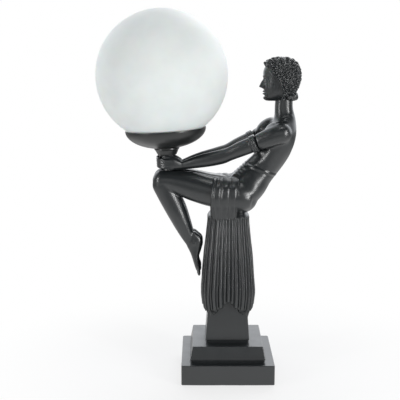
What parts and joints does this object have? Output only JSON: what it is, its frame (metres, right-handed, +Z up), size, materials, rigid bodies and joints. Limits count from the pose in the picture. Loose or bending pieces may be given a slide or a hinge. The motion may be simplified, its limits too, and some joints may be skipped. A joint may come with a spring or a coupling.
{
  "type": "figural table lamp",
  "caption": "Table lamp: a seated figure on a draped pedestal and stepped plinth holds a dish with an opal glass globe over her knees.",
  "frame": {"origin": "centre of the plinth's underside, on the surface the lamp stands on", "axes": "+Z up, -X the way the figure faces and holds the globe, +Y the figure's right-hand side, where the cord inlet is"},
  "size_m": [0.2826, 0.18, 0.5096],
  "materials": {
    "cast_resin": "satin black cast resin",
    "black_metal": "satin black paint",
    "opal_glass": "frosted opal white",
    "bulb_glass": "frosted",
    "steel": "zinc plated",
    "brass": "plain",
    "conduit": "drawn",
    "lead_sheath": "flexible sheath",
    "holder_plastic": "moulded",
    "holder_ceramic": "unglazed",
    "seal": "silicone",
    "felt": "pressed felt",
    "block_plastic": "moulded"
  },
  "bodies": {
    "root": {"stepped_base": "cast_resin", "pedestal": "cast_resin", "drapery_column": "cast_resin", "figure_body": "cast_resin", "figure_arms": "cast_resin", "dish": "black_metal", "collar": "black_metal", "stem_sleeve": "black_metal", "base_plate": "black_metal", "tie_tube": "steel", "tie_washer": "steel", "dish_washer": "steel", "base_plate_screws": "steel", "stem_nipple": "steel", "arm_dowels": "steel", "tie_nut": "brass", "tie_insert": "brass", "dish_nut": "brass", "holder_liner": "brass", "centre_contact": "brass", "terminal_block_screws": "brass", "conduit_tube": "conduit", "inner_lead": "lead_sheath", "holder_cap": "holder_plastic", "holder_skirt": "holder_plastic", "cord_bush": "holder_plastic", "holder_insulator": "holder_ceramic", "seat_ring": "seal", "felt_pad": "felt", "terminal_block": "block_plastic"},
    "globe": {"globe": "opal_glass"},
    "bulb": {"bulb_glass": "bulb_glass", "bulb_cap": "steel", "bulb_contact": "brass"}
  },
  "joints": [
    {"name": "globe_lift", "type": "slide", "parent": "root", "child": "globe", "axis": [-0.061, 0, 0.9981], "range_m": [0, 0.11]},
    {"name": "bulb_unscrew", "type": "slide", "parent": "root", "child": "bulb", "axis": [-0.061, 0, 0.9981], "range_m": [0, 0.06]}
  ]
}
